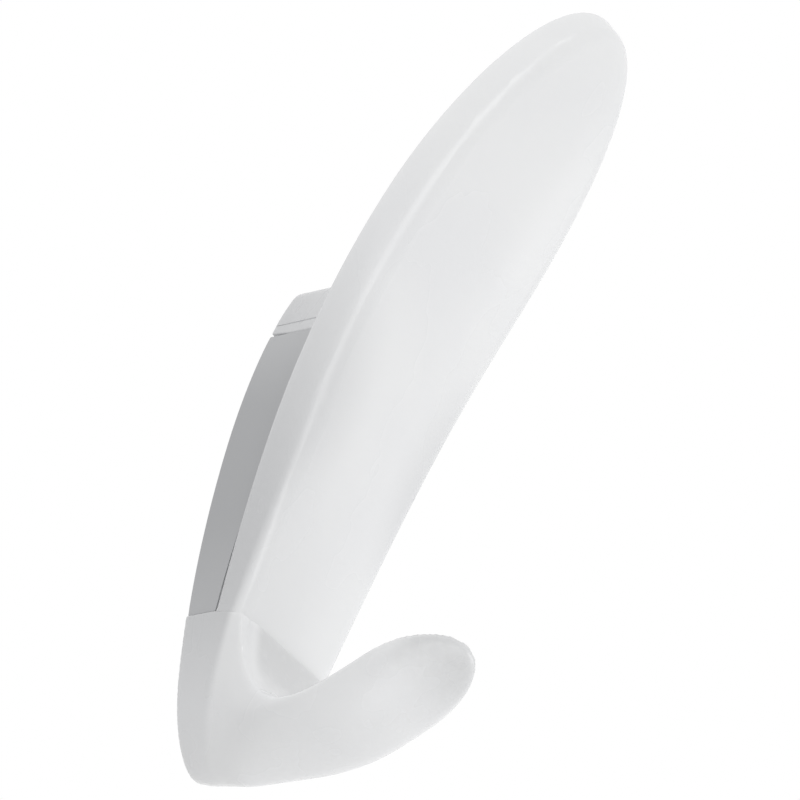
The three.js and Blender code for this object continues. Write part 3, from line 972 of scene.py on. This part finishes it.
    def cut_slot(self, blade, cap, plate):
        """Opens the slot that the bead sits in, down through the cap's underside."""
        radius = plate.bead_radius + plate.running_gap
        half_length = plate.bead_half_length + plate.running_gap
        low = BEAD_PLACE + Vector((-half_length, -radius, RIM + cap.bottom - OVERRUN - BEAD_PLACE.z))
        high = BEAD_PLACE + Vector((half_length, radius, 0))
        combine(blade, bar_across("slot", radius, half_length), "DIFFERENCE")
        combine(blade, block("slot_mouth", low, high), "DIFFERENCE")


class COATHOOK_OT_lower_hook(bpy.types.Operator):
    """Model the cup and the tongue as one softly blended shell"""

    bl_idname = "coathook.lower_hook"
    bl_label = "Lower Hook"

    def execute(self, context):
        scene = context.scene
        paddle, plate, sizes = scene.coat_hook_paddle, scene.coat_hook_plate, scene.coat_hook_lower
        hook = self.cup(paddle, plate, sizes)
        tongue = self.tongue(paddle, sizes)
        filler = self.corner_filler(hook, tongue, paddle, sizes)
        work_on(hook)
        tongue.select_set(True)
        filler.select_set(True)
        bpy.ops.object.join()
        apply_modifier(hook, "REMESH", mode="VOXEL", voxel_size=sizes.voxel)
        apply_modifier(hook, "SMOOTH", factor=0.5, iterations=BLEND_ROUNDS)
        anywhere = (-FAR, -FAR / 2)
        self.soften(hook, "tongue", TONGUE_ROUNDS, anywhere, (*TONGUE_REACHES, 2 * FAR, FAR))
        cheek_end = paddle.rim_reach - sizes.cup_edge_radius
        self.soften(hook, "cheek", CHEEK_ROUNDS, CHEEK_DROPS, (*CHEEK_REACHES, paddle.rim_reach, cheek_end))
        chin_drops = [part * sizes.valley_drop for part in CHIN_DROPS]
        chin_end = CHIN_END * sizes.valley_reach
        self.soften(hook, "chin", CHIN_ROUNDS, chin_drops, (*CHIN_REACHES, sizes.valley_reach, chin_end))
        cut_flat(hook, (0, 0, RIM), UP)
        low = (-FAR / 2, -paddle.rim_reach - OVERRUN, RIM - OVERRUN)
        high = (FAR / 2, paddle.rim_thickness - paddle.rim_reach + OVERRUN, RIM + OVERRUN)
        combine(hook, cut_flat(block("seam", low, high), *seam_plane(paddle, 0)), "DIFFERENCE")
        combine(hook, self.socket(paddle, plate, sizes), "DIFFERENCE")
        combine(hook, tenon(paddle, plate.seam_gap, paddle.thickness), "DIFFERENCE")
        smooth_shading(hook, SOFT_SHADING)
        hook.data.materials.append(shared_material(scene.coat_hook_finishes, frosted_plastic))
        hand_over(hook, "lower_hook", "hook")
        return {"FINISHED"}

    def cup(self, paddle, plate, sizes):
        """The plate's outline below the rim, drawn outward while it narrows and its chin drops."""
        front = paddle.rim_reach + sizes.cup_proud
        shoulder, cheek = front - paddle.rim_thickness, front - sizes.cup_edge_radius
        bottom = plate.lower_drop - plate.widest_height + sizes.cup_proud
        rim_width = egg_half_width(plate, 0, sizes.cup_proud)
        layers = [(shoulder / 2, rim_width, 0), (shoulder, rim_width, 0)]
        for step in range(EDGE_SEGMENTS + 1):
            turn = step / EDGE_SEGMENTS * math.pi / 2
            inset = sizes.cup_edge_radius * (1 - math.cos(turn))
            cheek_width = paddle.rim_half_width + sizes.cup_proud - inset
            layers.append((cheek + sizes.cup_edge_radius * math.sin(turn), cheek_width, inset))
        stations = []
        for half_width, height in egg_stations(plate, -bottom, OVERRUN / 2, sizes.cup_proud):
            fuller = 1 + sizes.cup_swell * math.sin(math.pi * max(0, -height / bottom) ** 2)
            stations.append((half_width * fuller, height))
        cup = thicken(flat_sheet("lower_hook_shell", stations), REAR_REACH, REAR_REACH + sizes.cup_proud)
        last_reach, last_width, last_drop = REAR_REACH + sizes.cup_proud, rim_width, bottom
        choose(cup, "FACE", lambda face: face.normal.z > FACING)
        for reach, width, inset in layers:
            drop = bottom + (sizes.cup_front_drop - bottom) * reach / front - inset
            bpy.ops.mesh.extrude_region_move(TRANSFORM_OT_translate={"value": (0, 0, reach - last_reach)})
            resize((width / last_width, drop / last_drop, 1), (0, 0, reach))
            last_reach, last_width, last_drop = reach, width, drop
        close_up()
        return stand_up(cup)

    def corner_filler(self, cup, tongue, paddle, sizes):
        """A hull round the cup's front and the tongue's root, kept below the tongue's inside."""
        work_on(cup)
        tongue.select_set(True)
        bpy.ops.object.duplicate()
        bpy.ops.object.join()
        filler = bpy.context.object
        near, far = paddle.rim_reach - sizes.cup_edge_radius - OVERRUN / 2, sizes.valley_reach
        edit(filler)
        choose(filler, "VERT", lambda vert: not near < -vert.co.y < far)
        bpy.ops.mesh.delete(type="VERT")
        select_everything()
        bpy.ops.mesh.convex_hull(use_existing_faces=False)
        knots = self.knots(paddle, sizes)
        alongs = evenly(-OVERRUN, FILLER_PLACE * curve_length(knots), PROFILE_STEPS)
        stations = [(FAR / 2, along) for along in alongs]
        below = bend(thicken(flat_sheet("below_inside", stations), -FAR / 3, 0), knots)
        return combine(filler, below, "INTERSECT")

    def soften(self, hook, name, rounds, drops, reaches):
        """Smooths the hook more and more over two depths and two reaches, and less over two more reaches."""
        work_on(hook)
        group = hook.vertex_groups.new(name=name)
        for vert in hook.data.vertices:
            reach, drop = -vert.co.y, RIM - vert.co.z
            weight = ease(drop, *drops) * ease(reach, *reaches[:2]) * ease(reach, *reaches[2:])
            group.add([vert.index], weight, "REPLACE")
        apply_modifier(hook, "SMOOTH", factor=0.5, iterations=rounds, vertex_group=name)

    def knots(self, paddle, sizes):
        """Side curve of the tongue's inside: down from the rim, round the valley and up to the tip."""
        start = Vector((paddle.rim_reach + sizes.cup_proud, 0))
        valley = Vector((sizes.valley_reach, -sizes.valley_drop))
        tip = Vector((sizes.tongue_reach, -sizes.tip_drop))
        down = Vector((RIM_SLANT, -RIM_HANDLE * sizes.valley_drop))
        along = Vector((CORNER_HANDLE * (valley.x - start.x), 0))
        onward = Vector((VALLEY_HANDLE * (tip.x - valley.x), 0))
        rise = Vector((TIP_RUN * (tip.x - valley.x), TIP_RISE * (tip.y - valley.y)))
        return [
            (start - down, start, start + down),
            (valley - along, valley, valley + onward),
            (tip - rise, tip, tip + rise),
        ]

    def tongue(self, paddle, sizes):
        """A half-round section drawn out flat, thick at the corner and thin at its round tip, then bent."""
        knots = self.knots(paddle, sizes)
        end = curve_length(knots)
        to_valley = curve_length(knots[:2])
        join = sizes.root_share * end
        marks = (
            (0, sizes.root_thickness),
            (CORNER_PLACE * to_valley, sizes.corner_thickness),
            (VALLEY_PLACE * to_valley, sizes.valley_thickness),
            (end, sizes.tip_thickness),
        )
        tongue = self.root_section(sizes, join)
        for along in evenly(-OVERRUN, join, ROOT_STEPS + 1):
            last, last_along = self.section(sizes, marks, along, end), along
            choose(tongue, "VERT", lambda vert: abs(vert.co.y - along) < SAME_PLACE)
            resize((last[0], 1, last[1]), (0, along, 0))
        choose(tongue, "FACE", lambda face: all(abs(vert.co.y - join) < SAME_PLACE for vert in face.verts))
        for step in range(1, PROFILE_STEPS + 1):
            along = join + (end - join) * math.sin(step / PROFILE_STEPS * math.pi / 2)
            half_width, thickness = self.section(sizes, marks, along, end)
            bpy.ops.mesh.extrude_region_move(TRANSFORM_OT_translate={"value": (0, along - last_along, 0)})
            resize((half_width / last[0], 1, thickness / last[1]), (0, along, 0))
            last, last_along = (half_width, thickness), along
        close_up()
        return bend(tongue, knots)

    def root_section(self, sizes, join):
        """The tongue's root in unit size: a rounded square at the cup that turns half round at the join."""
        upright = (math.pi / 2, 0, 0)
        clear_selection()
        bpy.ops.mesh.primitive_plane_add(size=2, location=(0, -OVERRUN, 0), rotation=upright)
        root = bpy.context.object
        bpy.ops.object.transform_apply(location=True, rotation=True, scale=True)
        edit(root)
        select_everything()
        bpy.ops.mesh.bevel(
            offset=ROOT_ROUNDING, segments=SECTION_SIDES // 4 - 1, profile=0.5, affect="VERTICES",
        )
        bpy.ops.mesh.primitive_circle_add(
            vertices=SECTION_SIDES, radius=1, fill_type="NGON", location=(0, join, 0), rotation=upright,
        )
        select_everything()
        bpy.ops.mesh.delete(type="ONLY_FACE")
        select_everything()
        bpy.ops.mesh.bridge_edge_loops(number_cuts=ROOT_STEPS, interpolation="LINEAR")
        for along in (-OVERRUN, join):
            choose(root, "EDGE", lambda edge: all(abs(vert.co.y - along) < SAME_PLACE for vert in edge.verts))
            bpy.ops.mesh.edge_face_add()
        choose(root, "VERT", lambda vert: vert.co.z > 0)
        resize((1, 1, sizes.crown), (0, 0, 0))
        return root

    def section(self, sizes, marks, along, end):
        """Half width and thickness of the tongue at a distance along its inside."""
        thickness = marks[-1][1]
        for (start, first), (stop, second) in zip(marks, marks[1:]):
            if start <= along <= stop:
                reached = 0.5 - 0.5 * math.cos(math.pi * (along - start) / (stop - start))
                thickness = first + (second - first) * reached
                break
        past = max(0, along - end + sizes.tip_rounding) / sizes.tip_rounding
        rounding = math.sqrt(max(TIP_END ** 2, 1 - past * past))
        settled = min(1, along / (end / 2))
        half_width = sizes.root_half_width + (sizes.half_width - sizes.root_half_width) * settled
        return half_width * rounding, thickness * rounding ** 0.5

    def socket(self, paddle, plate, sizes):
        """The space that the plate's lower end fills."""
        offset = sizes.cup_proud - sizes.cup_wall
        low = plate.widest_height - plate.lower_drop
        stations = egg_stations(plate, low - offset, OVERRUN, offset)
        solid = thicken(flat_sheet("socket", stations), REAR_REACH - OVERRUN, FAR)
        return combine(stand_up(solid), behind_paddle(paddle, 0), "INTERSECT")


class COATHOOK_OT_wall_plate(bpy.types.Operator):
    """Model the grey wall plate with its bead and its smaller lower end"""

    bl_idname = "coathook.wall_plate"
    bl_label = "Wall Plate"

    def execute(self, context):
        scene = context.scene
        paddle, cap, plate = scene.coat_hook_paddle, scene.coat_hook_cap, scene.coat_hook_plate
        top = cap.bottom - plate.running_gap
        body = self.outline_solid(plate, "wall_plate_shell", plate.seam_gap, top, 0)
        combine(body, behind_paddle(paddle, plate.rest_gap), "INTERSECT")
        low = plate.widest_height - plate.lower_drop + plate.end_inset
        end = self.outline_solid(plate, "plate_end", low, 2 * plate.seam_gap, -plate.end_inset)
        combine(end, behind_paddle(paddle, plate.running_gap), "INTERSECT")
        combine(body, end, "UNION")
        half_length, half_neck = plate.bead_half_length, plate.neck_thickness / 2
        foot = Vector((-half_length, BEAD_PLACE.y - half_neck, RIM + top - plate.bead_radius))
        head = Vector((half_length, BEAD_PLACE.y + half_neck, BEAD_PLACE.z))
        combine(body, block("neck", foot, head), "UNION")
        combine(body, bar_across("bead", plate.bead_radius, half_length), "UNION")
        flat_face_shading(body)
        body.data.materials.append(shared_material(scene.coat_hook_finishes, grey_plastic))
        hand_over(body, "wall_plate", "plate")
        return {"FINISHED"}

    def outline_solid(self, plate, name, low, high, offset):
        """The plate's outline between two heights, drawn outward, with its rear edge rounded."""
        solid = thicken(flat_sheet(name, egg_stations(plate, low, high, offset)), REAR_REACH, FAR)
        round_edges(solid, level_edges(REAR_REACH), plate.edge_radius)
        return stand_up(solid)


class COATHOOK_OT_strip_finishes(bpy.types.Operator):
    """Give the adhesive strip's layers and its pull tab their finishes"""

    bl_idname = "coathook.strip_finishes"
    bl_label = "Strip Finishes"

    def execute(self, context):
        makers = {
            "wall_adhesive": adhesive,
            "foam_strip": foam,
            "plate_adhesive": adhesive,
            "pull_tab": tab_film,
        }
        for node, maker in makers.items():
            mesh = frame["nodes"][node].data
            mesh.materials.clear()
            mesh.materials.append(shared_material(context.scene.coat_hook_finishes, maker))
        return {"FINISHED"}


class COATHOOK_OT_stage(bpy.types.Operator):
    """Set the camera, the lamps, the floor and the white surroundings"""

    bl_idname = "coathook.stage"
    bl_label = "Stage"

    def execute(self, context):
        stage = context.scene.coat_hook_stage
        context.scene.view_settings.view_transform = "Standard"
        self.camera(context, stage)
        for name, width, height, location in LAMPS:
            self.lamp(stage, name, width, height, location)
        self.floor(stage)
        self.surroundings(context, stage)
        return {"FINISHED"}

    def camera(self, context, stage):
        azimuth, elevation = stage.azimuth, stage.elevation
        level = math.cos(elevation)
        back = Vector((math.sin(azimuth) * level, -math.cos(azimuth) * level, math.sin(elevation)))
        right = Vector((math.cos(azimuth), math.sin(azimuth), 0))
        turn = Matrix((right, back.cross(right), back)).transposed().to_4x4()
        clear_selection()
        bpy.ops.object.camera_add()
        camera = bpy.context.object
        camera.name = "photograph_view"
        camera.data.sensor_width = 36
        camera.data.lens = stage.lens
        camera.data.clip_start = 0.01
        location = Vector(stage.aim) + back * stage.distance
        camera.matrix_world = Matrix.Translation(location) @ turn @ Matrix.Rotation(stage.roll, 4, "Z")
        context.scene.camera = camera

    def lamp(self, stage, name, width, height, location):
        """A soft lamp that looks at the hook."""
        clear_selection()
        bpy.ops.object.light_add(type="AREA")
        lamp = bpy.context.object
        lamp.name = name + "_lamp"
        lamp.data.energy = getattr(stage, name + "_power")
        lamp.data.shape = "RECTANGLE"
        lamp.data.size = width
        lamp.data.size_y = height
        lamp.location = location
        lamp.rotation_euler = (Vector(location) - Vector(stage.aim)).to_track_quat("Z", "Y").to_euler()

    def floor(self, stage):
        clear_selection()
        bpy.ops.mesh.primitive_plane_add(size=stage.floor_size, location=(0, 0, stage.floor_height))
        floor = bpy.context.object
        floor.name = "floor"
        material = bpy.data.materials.new("pale_floor")
        finish = Finish(material)
        mottle = finish.noise(scale=3, detail=2)
        darker, paler = [(grey, grey, grey) for grey in FLOOR_GREYS]
        finish.plastic({
            "Base Color": finish.mix(mottle, darker, paler),
            "Roughness": 0.9,
        })
        floor.data.materials.append(material)

    def surroundings(self, context, stage):
        """White where the camera, gloss or glass looks, and a plain level of light for the rest."""
        world = context.scene.world or bpy.data.worlds.new("surroundings")
        context.scene.world = world
        finish = Finish(world)
        seen = [finish.node("ShaderNodeLightPath", {}, {}, name)
                for name in ("Is Camera Ray", "Is Glossy Ray", "Is Transmission Ray")]
        white = finish.node("ShaderNodeBackground", {}, {"Color": (1, 1, 1, 1), "Strength": 1})
        light = finish.node("ShaderNodeBackground", {}, {"Color": (1, 1, 1, 1), "Strength": stage.ambient})
        shader = finish.node("ShaderNodeMixShader", {}, {0: seen[0] + seen[1] + seen[2], 1: light, 2: white})
        finish.node("ShaderNodeOutputWorld", {}, {"Surface": shader})


class COATHOOK_PT_panel(bpy.types.Panel):
    """Lists the coat hook's operators"""

    bl_idname = "COATHOOK_PT_panel"
    bl_label = "Coat Hook"
    bl_space_type = "VIEW_3D"
    bl_region_type = "UI"
    bl_category = "Coat Hook"

    def draw(self, context):
        for operator in OPERATORS:
            self.layout.operator(operator.bl_idname)


OPERATORS = (
    COATHOOK_OT_stage,
    COATHOOK_OT_upper_prong,
    COATHOOK_OT_lower_hook,
    COATHOOK_OT_wall_plate,
    COATHOOK_OT_strip_finishes,
)


def register():
    for group in GROUPS.values():
        bpy.utils.register_class(group)
    for name, group in GROUPS.items():
        setattr(bpy.types.Scene, name, PointerProperty(type=group))
    for operator in OPERATORS:
        bpy.utils.register_class(operator)
    bpy.utils.register_class(COATHOOK_PT_panel)


def unregister():
    bpy.utils.unregister_class(COATHOOK_PT_panel)
    for operator in reversed(OPERATORS):
        bpy.utils.unregister_class(operator)
    for name, group in reversed(GROUPS.items()):
        delattr(bpy.types.Scene, name)
        bpy.utils.unregister_class(group)


def main():
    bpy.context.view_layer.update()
    register()
    bpy.ops.coathook.stage()
    bpy.ops.coathook.upper_prong()
    bpy.ops.coathook.lower_hook()
    bpy.ops.coathook.wall_plate()
    bpy.ops.coathook.strip_finishes()
    clear_selection()


if __name__ == "__main__":
    main()
